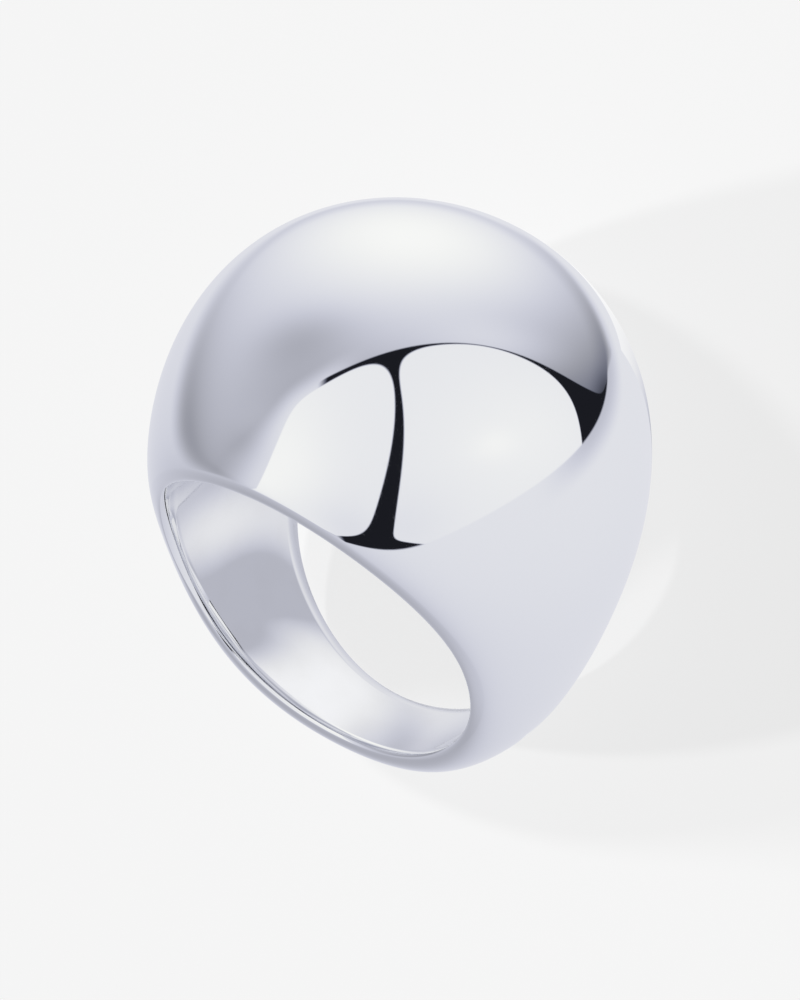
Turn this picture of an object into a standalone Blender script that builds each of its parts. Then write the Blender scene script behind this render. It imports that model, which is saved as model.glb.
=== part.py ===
"""A dome ring, cast in one piece and polished, lying on its side as it rests on a table."""

from collections import namedtuple
from math import asin, atan2, cos, pi, radians, sin

import bmesh
import bpy
import numpy
from mathutils import Matrix, Vector

# Sizes in metres
MM = 0.001
HOLE_RADIUS = 8.65 * MM

# Each rim has a narrow, nearly flat lip between the wall of the hole and the crown.
# Its depth is how far it reaches into the hole, as a share of how far it stands up.
# Its flatness is 0 for a round corner, and 1 for one cut straight across.
LIP_DEPTH = 0.43
LIP_FLATNESS = 0.5

# Sections of the ring, by their angle round the finger hole from the top of the dome.
# half_width goes from the middle of the section to its rim, along the finger.
# rise goes from the wall of the hole to the crown of the section.
# fullness squares the shoulders of the section above 0, and slopes them below 0.
# lip is how far the lip of each rim stands up from the wall of the hole.
Section = namedtuple("Section", "angle half_width rise fullness lip")
SECTIONS = (
    Section(angle=0.0, half_width=11.54 * MM, rise=9.46 * MM, fullness=-0.20, lip=0.68 * MM),
    Section(angle=45.0, half_width=9.72 * MM, rise=6.68 * MM, fullness=-0.27, lip=0.66 * MM),
    Section(angle=90.0, half_width=5.68 * MM, rise=2.35 * MM, fullness=-0.22, lip=0.60 * MM),
    Section(angle=135.0, half_width=3.30 * MM, rise=1.69 * MM, fullness=0.13, lip=0.30 * MM),
    Section(angle=180.0, half_width=2.37 * MM, rise=1.27 * MM, fullness=0.37, lip=0.18 * MM),
)

# Mesh steps
STEPS_ROUND_HOLE = 96
STEPS_OVER_CROWN = 30
STEPS_ON_LIP = 3

# Finish
SILVER_COLOUR = (0.86, 0.87, 0.90, 1.0)
SILVER_ROUGHNESS = 0.04
SHARP_ANGLE = radians(50.0)


def clear_scene():
    """Remove every object that is already in the scene."""
    for thing in list(bpy.data.objects):
        bpy.data.objects.remove(thing, do_unlink=True)


def polished_silver():
    """Bright, cool white metal."""
    material = bpy.data.materials.new("polished_silver")
    material.use_nodes = True
    shader = material.node_tree.nodes["Principled BSDF"]
    shader.inputs["Base Color"].default_value = SILVER_COLOUR
    shader.inputs["Metallic"].default_value = 1.0
    shader.inputs["Roughness"].default_value = SILVER_ROUGHNESS
    return material


def cosines_through(column):
    """Sizes of the cosines whose sum passes through one column of the sections.

    A sum of cosines is level at the top of the dome and at the bottom of the band, and
    runs the same down both sides, so the ring is smooth and even all the way round.
    """
    angles = numpy.radians([section.angle for section in SECTIONS])
    values = [getattr(section, column) for section in SECTIONS]
    return numpy.linalg.solve(numpy.cos(numpy.outer(angles, range(len(SECTIONS)))), values)


def value_at(cosines, angle):
    """A section's value at any angle round the hole."""
    return sum(size * cos(turns * angle) for turns, size in enumerate(cosines))


def crown_point(half_width, rise, fullness, angle):
    """A point (across, height) on the crown, from one rim at 0 to the other at pi."""
    across = -half_width * cos(angle)
    height = rise * sin(angle) * (1.0 + fullness * cos(angle) ** 2)
    return Vector((across, height))


def lip_curve(half_width, rise, fullness, lip):
    """The lip between the wall of the hole and the crown, and the crown's angle there."""
    end_angle = asin(lip / (rise * (1.0 + fullness)))
    end = crown_point(half_width, rise, fullness, end_angle)
    slope_across = half_width * sin(end_angle)
    slope_up = rise * cos(end_angle) * (1.0 + fullness * cos(end_angle) ** 2)
    slope_up -= 2.0 * rise * fullness * sin(end_angle) ** 2 * cos(end_angle)
    corner = Vector((end.x - end.y * slope_across / slope_up, 0.0))
    start = corner + Vector((lip * LIP_DEPTH, 0.0))
    bend = corner.lerp((start + end) / 2.0, LIP_FLATNESS)
    points = []
    for step in range(STEPS_ON_LIP + 1):
        t = step / STEPS_ON_LIP
        points.append((1.0 - t) ** 2 * start + 2.0 * t * (1.0 - t) * bend + t * t * end)
    return points, end_angle


def section_outline(half_width, rise, fullness, lip):
    """Outline of one section: lip, crown and other lip, closed by the hole's straight wall."""
    first_lip, end_angle = lip_curve(half_width, rise, fullness, lip)
    crown = []
    for step in range(1, STEPS_OVER_CROWN):
        angle = end_angle + (pi - 2.0 * end_angle) * step / STEPS_OVER_CROWN
        crown.append(crown_point(half_width, rise, fullness, angle))
    other_lip = [Vector((-point.x, point.y)) for point in reversed(first_lip)]
    return first_lip + crown + other_lip


def ring_outlines():
    """Every section of the ring in place: X across the hand, Y along the finger, Z up."""
    half_widths = cosines_through("half_width")
    rises = cosines_through("rise")
    fullnesses = cosines_through("fullness")
    lips = cosines_through("lip")
    outlines = []
    for step in range(STEPS_ROUND_HOLE):
        # Half a step of turn sets a short level edge, not a point, where the ring rests.
        angle = 2.0 * pi * (step + 0.5) / STEPS_ROUND_HOLE
        outline = section_outline(
            value_at(half_widths, angle),
            value_at(rises, angle),
            value_at(fullnesses, angle),
            value_at(lips, angle),
        )
        turn = Matrix.Rotation(angle, 3, "Y")
        outlines.append([turn @ Vector((0.0, p.x, HOLE_RADIUS + p.y)) for p in outline])
    return outlines


def lying_pose(outlines):
    """Turn that lays the ring on one rim, touching under its dome and under its band."""
    dome = outlines[0]
    band = outlines[STEPS_ROUND_HOLE // 2]

    def lean_over(dome_point):
        return min(atan2(dome_point.y - p.y, dome_point.z - p.z) for p in band)

    lean = max(lean_over(point) for point in dome)
    # The dome ends up towards -Y, with the finger hole open to the sky.
    return Matrix.Rotation(pi, 3, "Z") @ Matrix.Rotation(lean - pi / 2.0, 3, "X")


def loft(name, outlines, material):
    """A closed mesh through a loop of equal outlines."""
    mesh = bpy.data.meshes.new(name)
    form = bmesh.new()
    loops = []
    for outline in outlines:
        verts = [form.verts.new(point) for point in outline]
        count = len(verts)
        loops.append([form.edges.new((verts[i], verts[(i + 1) % count])) for i in range(count)])
    for index, loop in enumerate(loops):
        bmesh.ops.bridge_loops(form, edges=loop + loops[(index + 1) % len(loops)])
    bmesh.ops.recalc_face_normals(form, faces=form.faces)
    form.to_mesh(mesh)
    form.free()
    mesh.shade_smooth()
    mesh.set_sharp_from_angle(angle=SHARP_ANGLE)
    mesh.materials.append(material)
    thing = bpy.data.objects.new(name, mesh)
    bpy.context.scene.collection.objects.link(thing)
    return thing


def dome_ring():
    """The whole ring, centred over the middle of its footprint, its lowest rim at Z 0."""
    outlines = ring_outlines()
    pose = lying_pose(outlines)
    lying = [[pose @ point for point in outline] for outline in outlines]
    points = numpy.array([point for outline in lying for point in outline])
    low = points.min(axis=0)
    high = points.max(axis=0)
    footing = Vector(((low[0] + high[0]) / 2.0, (low[1] + high[1]) / 2.0, low[2]))
    placed = [[point - footing for point in outline] for outline in lying]
    return loft("dome_ring", placed, polished_silver())


def main():
    clear_scene()
    dome_ring()


main()
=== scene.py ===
"""A polished silver dome ring, lying on its side on a pale table in a soft studio.

The ring is one casting. Its surface follows a rule, so a Geometry Nodes tree sweeps the
five sections of the sizes panel round the finger hole, and the result is kept as a mesh.
"""

from collections import namedtuple
from math import cos, pi, radians, sin

import bpy
import numpy as np
from bpy.props import FloatProperty, FloatVectorProperty, PointerProperty
from mathutils import Matrix, Vector


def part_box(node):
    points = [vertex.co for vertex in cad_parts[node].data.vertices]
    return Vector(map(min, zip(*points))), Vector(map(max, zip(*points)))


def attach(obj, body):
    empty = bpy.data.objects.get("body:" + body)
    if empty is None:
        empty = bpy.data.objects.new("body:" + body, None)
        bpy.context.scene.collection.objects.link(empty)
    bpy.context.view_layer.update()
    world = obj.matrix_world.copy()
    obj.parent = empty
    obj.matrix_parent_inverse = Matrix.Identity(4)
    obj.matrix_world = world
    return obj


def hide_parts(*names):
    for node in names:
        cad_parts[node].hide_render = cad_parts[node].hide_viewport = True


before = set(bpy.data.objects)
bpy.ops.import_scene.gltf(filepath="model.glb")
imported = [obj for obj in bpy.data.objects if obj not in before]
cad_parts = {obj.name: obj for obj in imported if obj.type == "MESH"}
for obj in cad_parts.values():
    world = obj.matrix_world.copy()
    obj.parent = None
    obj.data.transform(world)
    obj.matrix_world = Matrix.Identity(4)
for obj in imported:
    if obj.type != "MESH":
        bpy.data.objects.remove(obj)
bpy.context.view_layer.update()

bl_info = {
    "name": "Dome Ring",
    "version": (1, 0, 0),
    "blender": (4, 5, 0),
    "location": "3D View > Sidebar > Dome Ring",
    "description": "Builds a polished dome ring and the pale studio that it lies in",
    "category": "Add Mesh",
}

MM = 0.001
NODE = "dome_ring"
BODY = "root"

CAD_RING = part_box(NODE)

# Sections of the ring, by their angle round the finger hole from the top of the dome
SECTION_ANGLES = (0.0, 45.0, 90.0, 135.0, 180.0)

# Mesh steps of the finished ring
STEPS_ROUND_HOLE = 360
STEPS_OVER_CROWN = 200
STEPS_ON_RIM = 8
STEPS_ON_WALL = 10

# Photograph's view: the frame in pixels, and where the hole's middle shows in it
FRAME_WIDTH = 800
FRAME_HEIGHT = 1000
HOLE_PIXEL_X = 388.2
HOLE_PIXEL_Y = 561.8

# The studio that the silver mirrors, charted in degrees off the camera's line of sight:
# across is to the camera's right and up is up in its picture. Light is 1 for white. The
# corner of a disc or a line is how widely it is rounded where it meets the shape so far.
Glow = namedtuple("Glow", "across up reach_across reach_up light")
Disc = namedtuple("Disc", "across up radius corner", defaults=(0,))
Line = namedtuple("Line", "across up heading corner")

# Half the width of a crisp edge
EDGE_FADE = 0.4

# Grey scrim over the ring: its glows add to its own light, where its lamp shines through
SCRIM_LIGHT = -0.24
SCRIM_GLOWS = (
    Glow(across=3, up=112, reach_across=164, reach_up=100, light=1.26),
    Glow(across=44, up=46, reach_across=36, reach_up=13, light=0.18),
    Glow(across=-94, up=-28, reach_across=34, reach_up=80, light=0.50),
    Glow(across=-46, up=56, reach_across=24, reach_up=12, light=-0.15),
    Glow(across=-58, up=20, reach_across=20, reach_up=14, light=0.12),
    Glow(across=112, up=34, reach_across=12, reach_up=12, light=-0.05),
)
SCRIM_DARKEST = 0.02
SCRIM_EDGE = Disc(across=0, up=35, radius=124)
SCRIM_FOOT = Line(across=76, up=-16, heading=117, corner=100)
SCRIM_HEEL = Line(across=-94, up=-32, heading=60, corner=8)

# Shade just inside the scrim's edge, and on the room just outside it on the right
SCRIM_SHADE = 0.08
SCRIM_SHADE_WIDTH = 14.0
SCRIM_HALO = 0.25
SCRIM_HALO_WIDTH = 14.0
SCRIM_HALO_ACROSS = (60.0, 100.0)

# The scrim's edge fades a little everywhere, more high up and on the left, where it
# spreads outwards, and most on the far left, where it spreads both ways
SCRIM_FADE = 0.6
SOFT_FADE = 7.0
SOFT_UP = (42.0, 60.0)
SOFT_ACROSS = (-30.0, -70.0)
FAR_FADE_OUTWARDS = 5.0
FAR_FADE_INWARDS = 14.0
FAR_ACROSS = (-60.0, -115.0)

# Black cloth behind the two panels
CLOTH_LIGHT = 0.012
CLOTH_TOP = Disc(across=22, up=-99, radius=145.9)
CLOTH_STEP = Line(across=0, up=28.5, heading=-90, corner=20)
CLOTH_END = Line(across=-33, up=37.5, heading=-53, corner=2)
CLOTH_SPIKE = Line(across=60, up=40, heading=-90, corner=6)
CLOTH_SPIKE_WIDTH = 0.25
CLOTH_FADE_ACROSS = (-36.0, -31.0)

# White panel on the right
RIGHT_LIGHT = 0.88
RIGHT_GLOWS = (
    Glow(across=55, up=5, reach_across=40, reach_up=30, light=0.055),
    Glow(across=42, up=0, reach_across=10, reach_up=7, light=0.05),
    Glow(across=8, up=-34, reach_across=22, reach_up=20, light=-0.06),
)
RIGHT_TOP = Disc(across=25.4, up=-59.5, radius=105.8)
RIGHT_END = Line(across=90.5, up=0, heading=180, corner=30)
RIGHT_SIDE = Disc(across=-113.3, up=-7.1, radius=119.6, corner=20)
RIGHT_FOOT = Line(across=0, up=-42.5, heading=90, corner=7)

# White panel on the left, in front of the right one
LEFT_LIGHT = 0.885
LEFT_GLOWS = (
    Glow(across=-52, up=-2, reach_across=26, reach_up=40, light=0.10),
    Glow(across=-70, up=-22, reach_across=14, reach_up=16, light=0.05),
    Glow(across=-24, up=-45, reach_across=24, reach_up=26, light=-0.09),
)
LEFT_TOP = Disc(across=22, up=-99, radius=144.3)
LEFT_END = Line(across=-55, up=8, heading=-24, corner=8)
LEFT_SIDE = Disc(across=-91.1, up=7.4, radius=91.9, corner=20)
LEFT_FOOT = Line(across=-30, up=-53.5, heading=113, corner=16)

# Its halo on the scrim beyond its outer end, which narrows from the first of two widths
# to the second as it goes up, and fades in towards the left
LEFT_HALO = 0.72
LEFT_HALO_START = 1.0
LEFT_HALO_UP = (-10.0, 40.0)
LEFT_HALO_WIDTHS = (27.0, 10.0)
LEFT_HALO_ACROSS = (-14.0, -34.0)

# Pale room and table all round, a little darker low on the left
ROOM_LIGHT = 0.835
ROOM_DIM_ACROSS = -69.0
ROOM_DIM_UP = -92.0
ROOM_DIM_LIGHT = -0.39
ROOM_DIM_TIGHTNESS = 2.85

# Wear on the silver: how far out from the wall of the hole it starts to fade and ends, on
# the wall's edge and on a lip, and the size of its clouds and of its grime, with the noise
# levels between which each one comes in
WALL_EDGE = 0.08 * MM
LIP_FULL = 0.225 * MM
LIP_REACH = 0.9 * MM
CLOUD_SIZE = 6.0 * MM
CLOUD_LEVELS = (0.35, 0.70)
GRIME_SIZE = 1.6 * MM
GRIME_LEVELS = (0.42, 0.68)

# Shares of the film and the haze that the wall has without grime, and that the lips have
WALL_FILM = 0.4
LIP_FILM = 0.5
WALL_HAZE = 0.5
LIP_HAZE = 0.4

# Hairline scratches, in three sets that each run one way, turned in degrees
Scratches = namedtuple("Scratches", "turn spacing")
SCRATCHES = (
    Scratches(turn=(20, 35, 0), spacing=0.30 * MM),
    Scratches(turn=(75, -20, 40), spacing=0.36 * MM),
    Scratches(turn=(-35, 10, 110), spacing=0.36 * MM),
)
SCRATCH_LENGTH = 9.0 * MM
SCRATCH_RIDGE = (0.022, 0.004)
SCRATCH_PATCH = 3.5 * MM
SCRATCH_LEVELS = (0.52, 0.62)

# Fine lines round the wall, by their spacing and by waves per metre round the hole
LINE_SPACING = 0.12 * MM
LINE_STRETCH = 120.0

# Table: half its length, and how far it is under the ring
TABLE_REACH = 1.5
TABLE_GAP = 0.01 * MM

# The two lamps that throw the shadow: what each gives of their light, and how broad it is
LAMP_SHARE = 0.5
LOW_LAMP_BREADTH = radians(4.0)
HIGH_LAMP_BREADTH = radians(8.0)

# Card under the table, which the wall of the hole mirrors: its depth, its reach over the table's X and
# Y, and the light and shade of the table under the ring, painted on it by millimetres across (X) and
# along (Y) it
CARD_DEPTH = 3.0 * MM
CARD_ACROSS = (-6.8 * MM, 9.8 * MM)
CARD_ALONG = (-12.0 * MM, 11.0 * MM)
CARD_LIGHT = 1.0
CARD_DARKEST = 0.52
# Painted shade: each one darkens the card where the table lies in the ring's shade
CARD_SHADES = (
    Glow(across=-0.6, up=1.5, reach_across=3.0, reach_up=2.6, light=-0.75),
    Glow(across=-6.0, up=-3.0, reach_across=4.6, reach_up=5.5, light=-0.66),
    Glow(across=-6.0, up=6.0, reach_across=4.6, reach_up=4.0, light=-0.50),
    Glow(across=1.5, up=11.5, reach_across=5.0, reach_up=3.4, light=-0.42),
    Glow(across=6.0, up=6.5, reach_across=3.2, reach_up=4.0, light=-0.36),
    Glow(across=10.0, up=2.0, reach_across=3.5, reach_up=6.0, light=-0.30),
)

# Tints of the studio's light, from the black cloth to full white, and the levels of light
# between which each gives way to the next
CLOTH_TINT = (0.94, 1.0, 1.34, 1.0)
GREY_TINT = (0.985, 1.0, 1.12, 1.0)
WHITE_TINT = (1.0, 1.0, 0.96, 1.0)
PLAIN_WHITE = (1.0, 1.0, 1.0, 1.0)
CLOTH_TO_GREY = (0.02, 0.40)
GREY_TO_WHITE = (0.58, 1.06)
CARD_GREY_TO_WHITE = (0.55, 0.95)


class Value:
    """A number in a node tree. Python's operators on it add Math nodes."""

    def __init__(self, nodes, socket):
        self.nodes = nodes
        self.socket = socket

    def maths(self, operation, *others):
        inputs = dict(enumerate((self, *others)))
        return self.nodes.add("ShaderNodeMath", {"operation": operation}, inputs)

    def reflected(self, operation, other):
        return self.nodes.add("ShaderNodeMath", {"operation": operation}, {0: other, 1: self})

    def __add__(self, other):
        return self.maths("ADD", other)

    def __sub__(self, other):
        return self.maths("SUBTRACT", other)

    def __mul__(self, other):
        return self.maths("MULTIPLY", other)

    def __truediv__(self, other):
        return self.maths("DIVIDE", other)

    def __pow__(self, other):
        return self.maths("POWER", other)

    def __radd__(self, other):
        return self.reflected("ADD", other)

    def __rsub__(self, other):
        return self.reflected("SUBTRACT", other)

    def __neg__(self):
        return self.reflected("MULTIPLY", -1.0)

    def __gt__(self, other):
        return self.maths("GREATER_THAN", other)

    def __lt__(self, other):
        return self.maths("LESS_THAN", other)


class Nodes:
    """Writes one node tree: each node that isn't plain arithmetic comes from add()."""

    def __init__(self, tree):
        self.tree = tree

    def add(self, kind, settings=None, inputs=None, output=0):
        """Add a node, set it up, feed its sockets, and give back one of its outputs."""
        node = self.tree.nodes.new(kind)
        for name, value in (settings or {}).items():
            setattr(node, name, value)
        for name, value in (inputs or {}).items():
            self.feed(node.inputs[name], value)
        return Value(self, node.outputs[output])

    def feed(self, socket, value):
        if isinstance(value, Value):
            self.tree.links.new(value.socket, socket)
        else:
            socket.default_value = value

    def smaller(self, first, second):
        return first.maths("MINIMUM", second)

    def larger(self, first, second):
        return first.maths("MAXIMUM", second)

    def between(self, first, second, share):
        """first where share is 0, second where it is 1."""
        return first + (-first + second) * share

    def step(self, value, low, high, low_result=0.0, high_result=1.0):
        """A smooth step from one result to the other as value goes from low to high."""
        inputs = {"Value": value, "From Min": low, "From Max": high}
        inputs.update({"To Min": low_result, "To Max": high_result})
        return self.add("ShaderNodeMapRange", {"interpolation_type": "SMOOTHSTEP"}, inputs)

    def glow(self, across, up, glow):
        """The light of one soft round glow at a place."""
        across = (across - glow.across) / glow.reach_across
        up = (up - glow.up) / glow.reach_up
        return (-(across * across + up * up)).maths("EXPONENT") * glow.light

    def point(self, x, y, z):
        return self.add("ShaderNodeCombineXYZ", None, {0: x, 1: y, 2: z})

    def vector(self, operation, first, second, output="Vector"):
        inputs = {0: first, 1: second}
        return self.add("ShaderNodeVectorMath", {"operation": operation}, inputs, output)

    def dot(self, first, second):
        return self.vector("DOT_PRODUCT", first, second, "Value")

    def cross(self, first, second):
        return self.vector("CROSS_PRODUCT", first, second)

    def scaled(self, vector, factor):
        inputs = {"Vector": vector, "Scale": factor}
        return self.add("ShaderNodeVectorMath", {"operation": "SCALE"}, inputs)

    def length(self, vector):
        inputs = {0: vector}
        return self.add("ShaderNodeVectorMath", {"operation": "LENGTH"}, inputs, "Value")

    def colour_between(self, first, second, share):
        node = self.tree.nodes.new("ShaderNodeMix")
        node.data_type = "RGBA"
        self.feed(node.inputs["Factor"], share)
        colours = [socket for socket in node.inputs if socket.type == "RGBA"]
        self.feed(colours[0], first)
        self.feed(colours[1], second)
        results = [socket for socket in node.outputs if socket.type == "RGBA"]
        return Value(self, results[0])


class RingSizes(bpy.types.PropertyGroup):
    """Sizes that the ring is swept from."""

    hole_radius: FloatProperty(
        name="Hole radius",
        description="Radius of the finger hole",
        default=8.65 * MM,
        unit="LENGTH",
    )
    rim_depth: FloatProperty(
        name="Rim depth",
        description="How far a rim's lip reaches into the hole, as a share of its height",
        default=0.43,
    )
    rim_flatness: FloatProperty(
        name="Rim flatness",
        description="0 for a round lip, and 1 for one cut straight across the corner",
        default=0.50,
    )
    half_widths: FloatVectorProperty(
        name="Half widths",
        description="Middle to rim along the finger, from the top of the dome to the band",
        default=(11.54 * MM, 9.72 * MM, 5.68 * MM, 3.30 * MM, 2.37 * MM),
        size=len(SECTION_ANGLES),
        unit="LENGTH",
    )
    rises: FloatVectorProperty(
        name="Rises",
        description="Hole wall to crown, from the top of the dome to the band",
        default=(9.46 * MM, 6.68 * MM, 2.35 * MM, 1.69 * MM, 1.27 * MM),
        size=len(SECTION_ANGLES),
        unit="LENGTH",
    )
    lips: FloatVectorProperty(
        name="Lips",
        description="How far each rim's lip stands up from the hole's wall, dome to band",
        default=(0.68 * MM, 0.66 * MM, 0.60 * MM, 0.30 * MM, 0.18 * MM),
        size=len(SECTION_ANGLES),
        unit="LENGTH",
    )
    fullnesses: FloatVectorProperty(
        name="Fullnesses",
        description="Square shoulders above 0, sloping ones below 0, from dome to band",
        default=(-0.20, -0.27, -0.22, 0.13, 0.37),
        size=len(SECTION_ANGLES),
    )


class SilverFinish(bpy.types.PropertyGroup):
    """Finish of the polished silver."""

    colour: FloatVectorProperty(
        name="Colour",
        description="Reflection colour of the clean plate",
        default=(0.90, 0.907, 0.93),
        subtype="COLOR",
        size=3,
    )
    worn_colour: FloatVectorProperty(
        name="Worn colour",
        description="Reflection colour where a thin film dulls the plate",
        default=(0.84, 0.84, 0.85),
        subtype="COLOR",
        size=3,
    )
    polish: FloatProperty(
        name="Polish",
        description="Roughness of the freshly buffed dome",
        default=0.015,
        subtype="FACTOR",
    )
    wall_haze: FloatProperty(
        name="Wall haze",
        description="Extra roughness of the hole's wall, where the buff reaches less well",
        default=0.05,
        subtype="FACTOR",
    )
    buffing: FloatProperty(
        name="Buffing",
        description="Extra roughness where the buff left the dome a little hazy",
        default=0.012,
        subtype="FACTOR",
    )
    film: FloatProperty(
        name="Film",
        description="How strongly the worn colour shows in the hole and along the lips",
        default=0.30,
        subtype="FACTOR",
    )
    scratch_haze: FloatProperty(
        name="Scratch haze",
        description="Extra roughness along a hairline scratch",
        default=0.02,
        subtype="FACTOR",
    )
    scratch_depth: FloatProperty(
        name="Scratch depth",
        description="Depth of the hairline scratches that wear leaves",
        default=0.00002 * MM,
        unit="LENGTH",
        precision=6,
    )
    line_depth: FloatProperty(
        name="Line depth",
        description="Depth of the fine lines that boring leaves round the hole's wall",
        default=0.00004 * MM,
        unit="LENGTH",
        precision=6,
    )


class Studio(bpy.types.PropertyGroup):
    """Table, backdrop, light and view."""

    table_white: FloatProperty(
        name="Table white",
        description="Brightness of the table and the backdrop",
        default=0.913,
        subtype="FACTOR",
    )
    shade: FloatProperty(
        name="Shade",
        description="Share of the table's light that the two lamps give, and the ring shades",
        default=0.12,
        subtype="FACTOR",
    )
    light: FloatProperty(
        name="Light",
        description="Strength of the studio's light on the ring",
        default=1.0,
    )
    low_azimuth: FloatProperty(
        name="Low lamp azimuth",
        description="Heading that the low lamp shines towards",
        default=radians(208.0),
        subtype="ANGLE",
    )
    low_elevation: FloatProperty(
        name="Low lamp elevation",
        description="Height of the low lamp above the table",
        default=radians(22.0),
        subtype="ANGLE",
    )
    high_azimuth: FloatProperty(
        name="High lamp azimuth",
        description="Heading that the high lamp shines towards",
        default=radians(160.0),
        subtype="ANGLE",
    )
    high_elevation: FloatProperty(
        name="High lamp elevation",
        description="Height of the high lamp above the table",
        default=radians(46.0),
        subtype="ANGLE",
    )
    view_azimuth: FloatProperty(
        name="View azimuth",
        description="Camera's turn round the ring",
        default=radians(-70.0),
        subtype="ANGLE",
    )
    view_elevation: FloatProperty(
        name="View elevation",
        description="Camera's height above the table",
        default=radians(61.3),
        subtype="ANGLE",
    )
    view_roll: FloatProperty(
        name="View roll",
        description="Camera's turn about its own line of sight",
        default=radians(-87.1),
        subtype="ANGLE",
    )
    view_distance: FloatProperty(
        name="View distance",
        description="Camera to ring; far enough that the view is almost parallel",
        default=0.9,
        unit="LENGTH",
    )
    frame_height: FloatProperty(
        name="Frame height",
        description="Height that the picture takes in at the ring",
        default=46.64 * MM,
        unit="LENGTH",
    )
    hole_middle: FloatVectorProperty(
        name="Hole middle",
        description="Middle of the finger hole as the ring lies, found when it is built",
        default=(0.0, 3.9 * MM, 6.2 * MM),
        subtype="TRANSLATION",
        size=3,
    )


def section_shares():
    """What each section counts for, as a sum of cosines of multiples of the turn.

    Row n holds the cosines' sizes for section n, so the sum of every section's size times
    its share passes through all five sizes and is level at the dome and at the band.
    """
    angles = np.radians(SECTION_ANGLES)
    return np.linalg.inv(np.cos(np.outer(angles, range(len(angles))))).T


def sweep_tree(sizes, material):
    """The Geometry Nodes tree of the ring, and the values of its inputs by identifier."""
    tree = bpy.data.node_groups.new("dome_ring_sweep", "GeometryNodeTree")
    tree.is_modifier = True
    tree.interface.new_socket(name="Ring", in_out="OUTPUT", socket_type="NodeSocketGeometry")
    values = {}
    labels = []

    def declare(label, value, kind="NodeSocketFloat"):
        socket = tree.interface.new_socket(name=label, in_out="INPUT", socket_type=kind)
        values[socket.identifier] = value
        labels.append(label)

    declare("Hole Radius", sizes.hole_radius)
    declare("Rim Depth", sizes.rim_depth)
    declare("Rim Flatness", sizes.rim_flatness)
    columns = {"Half Width": sizes.half_widths, "Rise": sizes.rises, "Lip": sizes.lips}
    columns["Fullness"] = sizes.fullnesses
    for column, numbers in columns.items():
        for angle, number in zip(SECTION_ANGLES, numbers):
            declare(f"{column} at {angle:.0f}", number)
    declare("Steps Round Hole", STEPS_ROUND_HOLE, "NodeSocketInt")
    declare("Steps Over Crown", STEPS_OVER_CROWN, "NodeSocketInt")
    declare("Steps On Rim", STEPS_ON_RIM, "NodeSocketInt")
    declare("Steps On Wall", STEPS_ON_WALL, "NodeSocketInt")

    nodes = Nodes(tree)
    group_input = tree.nodes.new("NodeGroupInput")
    named = {label: Value(nodes, group_input.outputs[label]) for label in labels}

    crown_steps = named["Steps Over Crown"]
    rim_steps = named["Steps On Rim"]
    outer_steps = crown_steps + rim_steps * 2.0
    all_steps = outer_steps + named["Steps On Wall"]

    # A flat unit grid: X goes once round the hole, Y once round the section
    grid_inputs = {"Size X": 1.0, "Size Y": 1.0}
    grid_inputs["Vertices X"] = named["Steps Round Hole"] + 1.0
    grid_inputs["Vertices Y"] = all_steps + 1.0
    grid = nodes.add("GeometryNodeMeshGrid", None, grid_inputs)
    place = nodes.add("GeometryNodeInputPosition")
    across = nodes.add("ShaderNodeSeparateXYZ", None, {0: place}, "X")
    along = nodes.add("ShaderNodeSeparateXYZ", None, {0: place}, "Y")
    turn = (across + 0.5) * (2.0 * pi)
    row = (along + 0.5) * all_steps

    # The section's own sizes at this turn
    cosines = [(turn * float(order)).maths("COSINE") for order in range(len(SECTION_ANGLES))]
    shares = []
    for line in section_shares():
        share = cosines[0] * float(line[0])
        for cosine, size in zip(cosines[1:], line[1:]):
            share = share + cosine * float(size)
        shares.append(share)

    def at_this_turn(column):
        total = shares[0] * named[f"{column} at {SECTION_ANGLES[0]:.0f}"]
        for share, angle in zip(shares[1:], SECTION_ANGLES[1:]):
            total = total + share * named[f"{column} at {angle:.0f}"]
        return total

    half_width = at_this_turn("Half Width")
    rise = at_this_turn("Rise")
    fullness = at_this_turn("Fullness")
    lip = at_this_turn("Lip")

    # Up the crown from a rim: the crown's angle starts where the rim's rounding ends
    from_rim = nodes.larger(nodes.smaller(row, outer_steps - row), 0.0)
    end_angle = (lip / (rise * (fullness + 1.0))).maths("ARCSINE")
    crown_share = nodes.larger(from_rim - rim_steps, 0.0) / crown_steps
    crown_angle = end_angle + (pi - end_angle * 2.0) * crown_share
    crown_cosine = crown_angle.maths("COSINE")
    crown_across = half_width * crown_cosine
    crown_height = rise * crown_angle.maths("SINE") * (fullness * crown_cosine ** 2.0 + 1.0)

    # The rounded rim is a curve from the wall, bent by the corner, to the crown's start
    end_cosine = end_angle.maths("COSINE")
    end_sine = end_angle.maths("SINE")
    end_across = half_width * end_cosine
    end_height = rise * end_sine * (fullness * end_cosine ** 2.0 + 1.0)
    slope_across = half_width * end_sine
    slope_up = rise * end_cosine * (fullness * end_cosine ** 2.0 + 1.0)
    slope_up = slope_up - rise * fullness * end_cosine * end_sine ** 2.0 * 2.0
    corner_across = end_across + end_height * slope_across / slope_up
    start_across = corner_across - lip * named["Rim Depth"]
    flatness = named["Rim Flatness"]
    bend_across = nodes.between(corner_across, (start_across + end_across) * 0.5, flatness)
    bend_height = end_height * 0.5 * flatness
    ahead = nodes.smaller(from_rim / rim_steps, 1.0)
    behind = 1.0 - ahead
    bend_share = ahead * behind * 2.0
    rim_across = start_across * behind ** 2.0 + bend_across * bend_share + end_across * ahead ** 2.0
    rim_height = bend_height * bend_share + end_height * ahead ** 2.0

    on_rim = from_rim < rim_steps
    reach = nodes.between(crown_across, rim_across, on_rim)
    height = nodes.between(crown_height, rim_height, on_rim)

    # -1 at the first rim and 1 at the other, and back to -1 along the wall of the hole
    wall_share = nodes.larger(row - outer_steps, 0.0) / named["Steps On Wall"]
    side = (row > outer_steps * 0.5) * 2.0 - 1.0 - wall_share * 2.0

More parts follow.
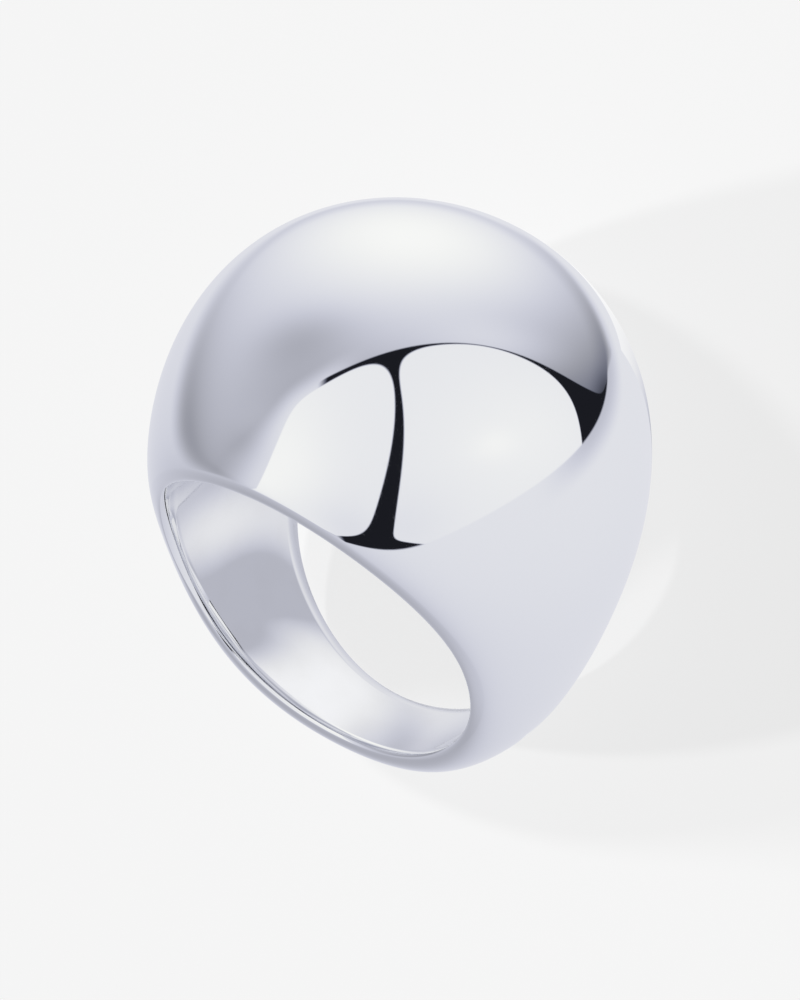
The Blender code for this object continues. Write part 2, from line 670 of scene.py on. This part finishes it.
    radius = named["Hole Radius"] + height
    swept_point = nodes.point(radius * turn.maths("SINE"), side * reach, radius * turn.maths("COSINE"))
    swept = nodes.add("GeometryNodeSetPosition", None, {"Geometry": grid, "Position": swept_point})
    closing = {"Geometry": swept, "Distance": 0.001 * MM}
    closed = nodes.add("GeometryNodeMergeByDistance", None, closing)
    smooth = nodes.add("GeometryNodeSetShadeSmooth", None, {"Geometry": closed})
    real = nodes.add("GeometryNodeRealizeInstances", None, {"Geometry": smooth})
    clothed = {"Geometry": real, "Material": material}
    finished = nodes.add("GeometryNodeSetMaterial", None, clothed)
    group_output = tree.nodes.new("NodeGroupOutput")
    tree.links.new(finished.socket, group_output.inputs["Ring"])
    return tree, values


def swept_mesh(name, tree, values):
    """The plain mesh that a tree makes."""
    carrier = bpy.data.objects.new(name, bpy.data.meshes.new(name))
    bpy.context.scene.collection.objects.link(carrier)
    modifier = carrier.modifiers.new("sweep", "NODES")
    modifier.node_group = tree
    for identifier, value in values.items():
        modifier[identifier] = value
    carrier.update_tag()
    evaluated = carrier.evaluated_get(bpy.context.evaluated_depsgraph_get())
    mesh = bpy.data.meshes.new_from_object(evaluated)
    bpy.data.objects.remove(carrier, do_unlink=True)
    mesh.name = name
    return mesh


def points_of(mesh):
    points = np.empty(len(mesh.vertices) * 3, np.float32)
    mesh.vertices.foreach_get("co", points)
    return points.reshape(-1, 3)


def foot(low, high):
    """Middle of the bottom of a box."""
    return Vector(((low[0] + high[0]) / 2.0, (low[1] + high[1]) / 2.0, low[2]))


def lying_turn(mesh):
    """Turn that lays the ring on one rim, touching under its dome and under its band."""
    points = points_of(mesh)
    middle = points[np.abs(points[:, 0]) < 0.001 * MM]
    dome = middle[middle[:, 2] > 0.0]
    band = middle[middle[:, 2] < 0.0]
    rise = dome[:, None, 2] - band[None, :, 2]
    reach = dome[:, None, 1] - band[None, :, 1]
    lean = float(np.arctan2(reach, rise).min(axis=1).max())
    # The dome ends up towards -Y, with the finger hole open to the sky.
    return Matrix.Rotation(pi, 4, "Z") @ Matrix.Rotation(lean - pi / 2.0, 4, "X")


def principled(material):
    """The nodes of a material, with its Principled shader."""
    material.use_nodes = True
    return Nodes(material.node_tree), material.node_tree.nodes["Principled BSDF"]


def mottle(nodes, place, size, detail):
    """Soft cloudy variation, about 0.5 on average, in blotches of one size."""
    inputs = {"Vector": place, "Scale": 1.0 / size, "Detail": detail}
    return nodes.add("ShaderNodeTexNoise", None, inputs, "Fac")


def hairlines(nodes, place, scratches):
    """Sparse fine scratches that run one way: 1 on a scratch and 0 between."""
    turning = {"Vector": place, "Rotation": [radians(angle) for angle in scratches.turn]}
    turned = nodes.add("ShaderNodeVectorRotate", {"rotation_type": "EULER_XYZ"}, turning)
    close = 1.0 / scratches.spacing
    stretch = Vector((1.0 / SCRATCH_LENGTH, close, close))
    stretched = nodes.vector("MULTIPLY", turned, stretch)
    ridge = (mottle(nodes, stretched, 1.0, 0.0) - 0.5).maths("ABSOLUTE")
    patches = mottle(nodes, turned, SCRATCH_PATCH, 1.0)
    return nodes.step(ridge, *SCRATCH_RIDGE) * nodes.step(patches, *SCRATCH_LEVELS)


def finish_silver(material, finish, hole_radius, middle, axis):
    """Mirror-polished silver plate with the faint marks of buffing and of wear."""
    nodes, shader = principled(material)
    place = nodes.add("ShaderNodeTexCoord", output="Object")

    # Where a point lies along the finger hole and out from its wall
    offset = nodes.vector("SUBTRACT", place, middle)
    along = nodes.dot(offset, axis)
    out = nodes.length(nodes.cross(offset, axis)) - hole_radius
    wall = nodes.step(out, WALL_EDGE, 0.0)
    lip = nodes.step(out, LIP_REACH, LIP_FULL) * (1.0 - wall)

    cloud = nodes.step(mottle(nodes, place, CLOUD_SIZE, 2.0), *CLOUD_LEVELS)
    grime = nodes.step(mottle(nodes, place, GRIME_SIZE, 3.0), *GRIME_LEVELS)
    scratches = hairlines(nodes, place, SCRATCHES[0])
    for more in SCRATCHES[1:]:
        scratches = nodes.larger(scratches, hairlines(nodes, place, more))

    # Fine lines that run round the wall, far closer together than they are long
    lined = nodes.vector("MULTIPLY", offset, Vector((LINE_STRETCH, LINE_STRETCH, LINE_STRETCH)))
    lined = nodes.vector("ADD", lined, nodes.scaled(axis, along / LINE_SPACING))
    lines = mottle(nodes, lined, 1.0, 2.0) * wall

    on_wall = wall * (grime * (1.0 - WALL_FILM) + WALL_FILM)
    film = (on_wall + lip * cloud * LIP_FILM) * finish.film
    clean = (*finish.colour, 1.0)
    worn = (*finish.worn_colour, 1.0)
    nodes.feed(shader.inputs["Base Color"], nodes.colour_between(clean, worn, film))

    shader.inputs["Metallic"].default_value = 1.0
    roughness = cloud * finish.buffing + finish.polish
    on_wall = wall * (grime * (1.0 - WALL_HAZE) + WALL_HAZE)
    roughness = roughness + on_wall * finish.wall_haze + scratches * finish.scratch_haze
    roughness = roughness + lip * grime * finish.wall_haze * LIP_HAZE
    nodes.feed(shader.inputs["Roughness"], roughness)

    height = lines * finish.line_depth - scratches * finish.scratch_depth
    bump = {"Height": height, "Distance": 1.0, "Strength": 1.0}
    nodes.feed(shader.inputs["Normal"], nodes.add("ShaderNodeBump", None, bump, "Normal"))


def bare_material(name):
    """A material without a shader: itself, its nodes, and the socket of its surface."""
    material = bpy.data.materials.new(name)
    material.use_nodes = True
    tree = material.node_tree
    tree.nodes.remove(tree.nodes["Principled BSDF"])
    return material, Nodes(tree), tree.nodes["Material Output"].inputs["Surface"]


def table_material(studio):
    """Pale table that glows evenly, so the ring's shadow is all that it shows."""
    material, nodes, surface = bare_material("pale_table")
    even = studio.table_white * (1.0 - studio.shade)
    glow = nodes.add("ShaderNodeEmission", None, {"Color": PLAIN_WHITE, "Strength": even})
    lit = studio.table_white * studio.shade
    matt = nodes.add("ShaderNodeBsdfDiffuse", None, {"Color": (lit, lit, lit, 1.0)})
    nodes.feed(surface, nodes.add("ShaderNodeAddShader", None, {0: glow, 1: matt}))
    return material


def card_material():
    """The light and shade under the ring, painted on the card that the wall of its hole mirrors."""
    material, nodes, surface = bare_material("card_under_ring")
    place = nodes.add("ShaderNodeTexCoord", output="Object")
    x = nodes.dot(place, Vector((1.0 / MM, 0.0, 0.0)))
    y = nodes.dot(place, Vector((0.0, 1.0 / MM, 0.0)))
    # Painted light and shade: the card's even glow, darkened where the table lies in the ring's shade
    level = CARD_LIGHT
    for glow in CARD_SHADES:
        level = level + nodes.glow(x, y, glow)
    level = nodes.larger(level, CARD_DARKEST)
    whiter = nodes.step(level, *CARD_GREY_TO_WHITE)
    tint = nodes.colour_between(GREY_TINT, PLAIN_WHITE, whiter)
    light = nodes.add("ShaderNodeEmission", None, {"Color": tint, "Strength": level})
    nodes.feed(surface, light)
    return material


def flat_sheet(name, across, along, height, material):
    """A level rectangle, as part of the stage."""
    order = ((0, 0), (1, 0), (1, 1), (0, 1))
    corners = [(across[x], along[y], height) for x, y in order]
    mesh = bpy.data.meshes.new(name)
    mesh.from_pydata(corners, [], [(0, 1, 2, 3)])
    mesh.materials.append(material)
    sheet = bpy.data.objects.new(name, mesh)
    bpy.context.scene.collection.objects.link(sheet)
    return sheet


def build_card():
    """A card under the table, painted with light and shade, and seen only by way of the silver."""
    card = flat_sheet("card", CARD_ACROSS, CARD_ALONG, -CARD_DEPTH, card_material())
    card.visible_camera = False
    card.visible_diffuse = False
    card.visible_shadow = False


def build_table(studio):
    """A plain table top, which the ring's mirror finish doesn't pick up."""
    reach = (-TABLE_REACH, TABLE_REACH)
    table = flat_sheet("table", reach, reach, -TABLE_GAP, table_material(studio))
    table.visible_glossy = False


def view_axes(studio):
    """The camera's right, up and back directions."""
    azimuth = studio.view_azimuth
    elevation = studio.view_elevation
    back = Vector((sin(azimuth) * cos(elevation), -cos(azimuth) * cos(elevation), sin(elevation)))
    level_right = Vector((cos(azimuth), sin(azimuth), 0.0))
    level_up = back.cross(level_right)
    roll = Matrix.Rotation(studio.view_roll, 3, back)
    return roll @ level_right, roll @ level_up, back


def build_camera(studio):
    """The photograph's view: a long lens, turned so that the ring stands in the picture."""
    right, up, back = view_axes(studio)
    pixel = studio.frame_height / FRAME_HEIGHT
    aim = Vector(studio.hole_middle)
    aim += right * ((FRAME_WIDTH / 2.0 - HOLE_PIXEL_X) * pixel)
    aim += up * ((HOLE_PIXEL_Y - FRAME_HEIGHT / 2.0) * pixel)
    data = bpy.data.cameras.new("photo_view")
    data.lens = data.sensor_width * studio.view_distance / studio.frame_height
    data.clip_start = 0.01
    data.clip_end = 10.0
    camera = bpy.data.objects.new("photo_view", data)
    turn = Matrix((right, up, back)).transposed().to_4x4()
    camera.matrix_world = Matrix.Translation(aim + back * studio.view_distance) @ turn
    bpy.context.scene.collection.objects.link(camera)
    bpy.context.scene.camera = camera


def build_lamp(name, heading, height, breadth):
    """One of the two lamps that throw the ring's shadow. The silver doesn't mirror it."""
    travel = Vector((cos(heading) * cos(height), sin(heading) * cos(height), -sin(height)))
    data = bpy.data.lights.new(name, "SUN")
    # The table gets the same light from a lamp at any height
    data.energy = LAMP_SHARE * pi / sin(height)
    data.angle = breadth
    lamp = bpy.data.objects.new(name, data)
    lamp.rotation_mode = "QUATERNION"
    lamp.rotation_quaternion = travel.to_track_quat("-Z", "Y")
    lamp.visible_glossy = False
    bpy.context.scene.collection.objects.link(lamp)


class Chart:
    """The studio as the silver mirrors it, in degrees off the camera's line of sight."""

    def __init__(self, nodes, axes):
        self.nodes = nodes
        right, up, back = axes
        self.direction = nodes.add("ShaderNodeTexCoord", output="Generated")
        facing = nodes.dot(self.direction, back)
        degrees_off = facing.maths("ARCCOSINE") * (180.0 / pi)
        flat = nodes.larger(1.0 - facing * facing, 0.000001).maths("SQRT")
        self.across = nodes.dot(self.direction, right) * degrees_off / flat
        self.up = nodes.dot(self.direction, up) * degrees_off / flat

    def light(self, level, glows):
        """An even light with soft glows on it."""
        total = level
        for glow in glows:
            total = total + self.nodes.glow(self.across, self.up, glow)
        return total

    def inside(self, disc):
        """Distance inside a disc's edge."""
        across = self.across - disc.across
        up = self.up - disc.up
        return disc.radius - (across * across + up * up).maths("SQRT")

    def beyond(self, line):
        """Distance past a line, on the side that it heads for."""
        across = (self.across - line.across) * cos(radians(line.heading))
        return across + (self.up - line.up) * sin(radians(line.heading))

    def both(self, first, second, corner):
        """The part that two shapes share, with a rounded corner."""
        return first.maths("SMOOTH_MIN", second, corner)

    def either(self, first, second, corner):
        """Two shapes joined, with a rounded inner corner."""
        return first.maths("SMOOTH_MAX", second, corner)

    def cut(self, shape):
        """1 inside a shape and 0 outside it, with a crisp edge."""
        return self.nodes.step(shape, -EDGE_FADE, EDGE_FADE)


def room_light(chart, axes, front):
    """The pale room, dimmer low on the left, and shaded beside the scrim on the right."""
    nodes = chart.nodes
    right, up, back = axes
    off = radians((ROOM_DIM_ACROSS ** 2 + ROOM_DIM_UP ** 2) ** 0.5)
    flat = Vector((ROOM_DIM_ACROSS, ROOM_DIM_UP)).normalized()
    dim_way = (right * flat.x + up * flat.y) * sin(off) + back * cos(off)
    dimmed = ((nodes.dot(chart.direction, dim_way) - 1.0) * ROOM_DIM_TIGHTNESS).maths("EXPONENT")
    room = dimmed * ROOM_DIM_LIGHT + ROOM_LIGHT
    halo = nodes.step(front, -SCRIM_HALO_WIDTH, 0.0) * nodes.step(chart.across, *SCRIM_HALO_ACROSS)
    return room - halo * SCRIM_HALO


def scrim_light(chart, front, left, panel):
    """The grey scrim, darker right at its edge, with the left panel's halo on it."""
    nodes = chart.nodes
    edge = nodes.step(front, SCRIM_SHADE_WIDTH, 0.0)
    scrim = chart.light(SCRIM_LIGHT, SCRIM_GLOWS) - edge * SCRIM_SHADE
    scrim = nodes.larger(scrim, SCRIM_DARKEST)
    width = nodes.step(chart.up, *LEFT_HALO_UP, *LEFT_HALO_WIDTHS)
    halo = nodes.step(left, -width, LEFT_HALO_START) * nodes.step(chart.across, *LEFT_HALO_ACROSS)
    return nodes.between(scrim, panel, halo * LEFT_HALO)


def cloth_share(chart, front):
    """1 where the black cloth would show without the panels, and 0 elsewhere."""
    nodes = chart.nodes
    cloth = chart.either(chart.inside(CLOTH_TOP), chart.beyond(CLOTH_STEP), CLOTH_STEP.corner)
    cloth = chart.both(cloth, chart.beyond(CLOTH_END), CLOTH_END.corner)
    spike = chart.beyond(CLOTH_SPIKE) * CLOTH_SPIKE_WIDTH - front
    spike = nodes.smaller(spike, chart.across - CLOTH_SPIKE.across)
    cloth = chart.either(cloth, spike, CLOTH_SPIKE.corner)
    return chart.cut(cloth) * nodes.step(chart.across, *CLOTH_FADE_ACROSS)


def scrim_share(chart, front):
    """1 on the scrim and what hangs before it, and 0 in the room beyond its edge."""
    nodes = chart.nodes
    soft = nodes.larger(nodes.step(chart.up, *SOFT_UP), nodes.step(chart.across, *SOFT_ACROSS))
    far = nodes.step(chart.across, *FAR_ACROSS)
    outwards = soft * -SOFT_FADE - far * FAR_FADE_OUTWARDS - SCRIM_FADE
    return nodes.step(front, outwards, far * FAR_FADE_INWARDS + SCRIM_FADE)


def studio_light(nodes, axes):
    """How bright the studio is in every direction."""
    chart = Chart(nodes, axes)
    front = chart.both(chart.inside(SCRIM_EDGE), chart.beyond(SCRIM_FOOT), SCRIM_FOOT.corner)
    front = chart.both(front, chart.beyond(SCRIM_HEEL), SCRIM_HEEL.corner)
    left = chart.both(chart.inside(LEFT_TOP), chart.beyond(LEFT_END), LEFT_END.corner)
    panel = chart.light(LEFT_LIGHT, LEFT_GLOWS)
    studio = scrim_light(chart, front, left, panel)
    studio = nodes.between(studio, CLOTH_LIGHT, cloth_share(chart, front))

    # White panel on the right
    shape = chart.both(chart.inside(RIGHT_TOP), chart.beyond(RIGHT_END), RIGHT_END.corner)
    shape = chart.both(shape, -chart.inside(RIGHT_SIDE), RIGHT_SIDE.corner)
    shape = chart.both(shape, chart.beyond(RIGHT_FOOT), RIGHT_FOOT.corner)
    studio = nodes.between(studio, chart.light(RIGHT_LIGHT, RIGHT_GLOWS), chart.cut(shape))

    # White panel on the left, in front of the right one
    shape = chart.both(left, chart.inside(LEFT_SIDE), LEFT_SIDE.corner)
    shape = chart.both(shape, chart.beyond(LEFT_FOOT), LEFT_FOOT.corner)
    studio = nodes.between(studio, panel, chart.cut(shape))
    return nodes.between(room_light(chart, axes, front), studio, scrim_share(chart, front))


def build_world(studio):
    """Soft studio all round; the camera sees a plain backdrop as white as the table."""
    world = bpy.data.worlds.new("soft_studio")
    world.use_nodes = True
    world.cycles_visibility.diffuse = False
    tree = world.node_tree
    nodes = Nodes(tree)
    level = studio_light(nodes, view_axes(studio))
    tint = nodes.colour_between(CLOTH_TINT, GREY_TINT, nodes.step(level, *CLOTH_TO_GREY))
    tint = nodes.colour_between(tint, WHITE_TINT, nodes.step(level, *GREY_TO_WHITE))
    lit = {"Color": tint, "Strength": level * studio.light}
    mirrored = nodes.add("ShaderNodeBackground", None, lit)
    plain = {"Color": PLAIN_WHITE, "Strength": studio.table_white}
    backdrop = nodes.add("ShaderNodeBackground", None, plain)
    to_camera = nodes.add("ShaderNodeLightPath", output="Is Camera Ray")
    seen = nodes.add("ShaderNodeMixShader", None, {0: to_camera, 1: mirrored, 2: backdrop})
    nodes.feed(tree.nodes["World Output"].inputs["Surface"], seen)
    bpy.context.scene.world = world


class RING_OT_build(bpy.types.Operator):
    """Build the ring and let it stand for the CAD node"""

    bl_idname = "dome_ring.build_ring"
    bl_label = "Build Ring"

    def execute(self, context):
        sizes = context.scene.ring_sizes
        material = bpy.data.materials.new("polished_silver")
        tree, values = sweep_tree(sizes, material)
        mesh = swept_mesh("silver_ring", tree, values)
        turn = lying_turn(mesh)
        mesh.transform(turn)
        points = points_of(mesh)
        middle = foot(*CAD_RING) - foot(points.min(axis=0), points.max(axis=0))
        mesh.transform(Matrix.Translation(middle))
        axis = turn.to_3x3() @ Vector((0.0, 1.0, 0.0))
        finish_silver(material, context.scene.silver_finish, sizes.hole_radius, middle, axis)
        context.scene.studio.hole_middle = middle
        ring = bpy.data.objects.new("silver_ring", mesh)
        context.scene.collection.objects.link(ring)
        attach(ring, BODY)
        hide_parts(NODE)
        return {"FINISHED"}


class RING_OT_stage(bpy.types.Operator):
    """Build the table, the studio's light and the camera"""

    bl_idname = "dome_ring.build_stage"
    bl_label = "Build Stage"

    def execute(self, context):
        studio = context.scene.studio
        build_table(studio)
        build_card()
        build_world(studio)
        build_lamp("low_lamp", studio.low_azimuth, studio.low_elevation, LOW_LAMP_BREADTH)
        build_lamp("high_lamp", studio.high_azimuth, studio.high_elevation, HIGH_LAMP_BREADTH)
        build_camera(studio)
        context.scene.view_settings.view_transform = "Standard"
        return {"FINISHED"}


class RING_PT_sidebar(bpy.types.Panel):
    """Sizes, finish and studio of the dome ring"""

    bl_label = "Dome Ring"
    bl_idname = "RING_PT_sidebar"
    bl_space_type = "VIEW_3D"
    bl_region_type = "UI"
    bl_category = "Dome Ring"

    def draw(self, context):
        layout = self.layout
        scene = context.scene
        for group in (scene.ring_sizes, scene.silver_finish, scene.studio):
            for name in group.__annotations__:
                layout.prop(group, name)
        layout.operator(RING_OT_build.bl_idname)
        layout.operator(RING_OT_stage.bl_idname)


CLASSES = (RingSizes, SilverFinish, Studio, RING_OT_build, RING_OT_stage, RING_PT_sidebar)


def register():
    for item in CLASSES:
        bpy.utils.register_class(item)
    bpy.types.Scene.ring_sizes = PointerProperty(type=RingSizes)
    bpy.types.Scene.silver_finish = PointerProperty(type=SilverFinish)
    bpy.types.Scene.studio = PointerProperty(type=Studio)


def unregister():
    del bpy.types.Scene.studio
    del bpy.types.Scene.silver_finish
    del bpy.types.Scene.ring_sizes
    for item in reversed(CLASSES):
        bpy.utils.unregister_class(item)


def main():
    register()
    bpy.ops.dome_ring.build_ring()
    bpy.ops.dome_ring.build_stage()


if __name__ == "__main__":
    main()
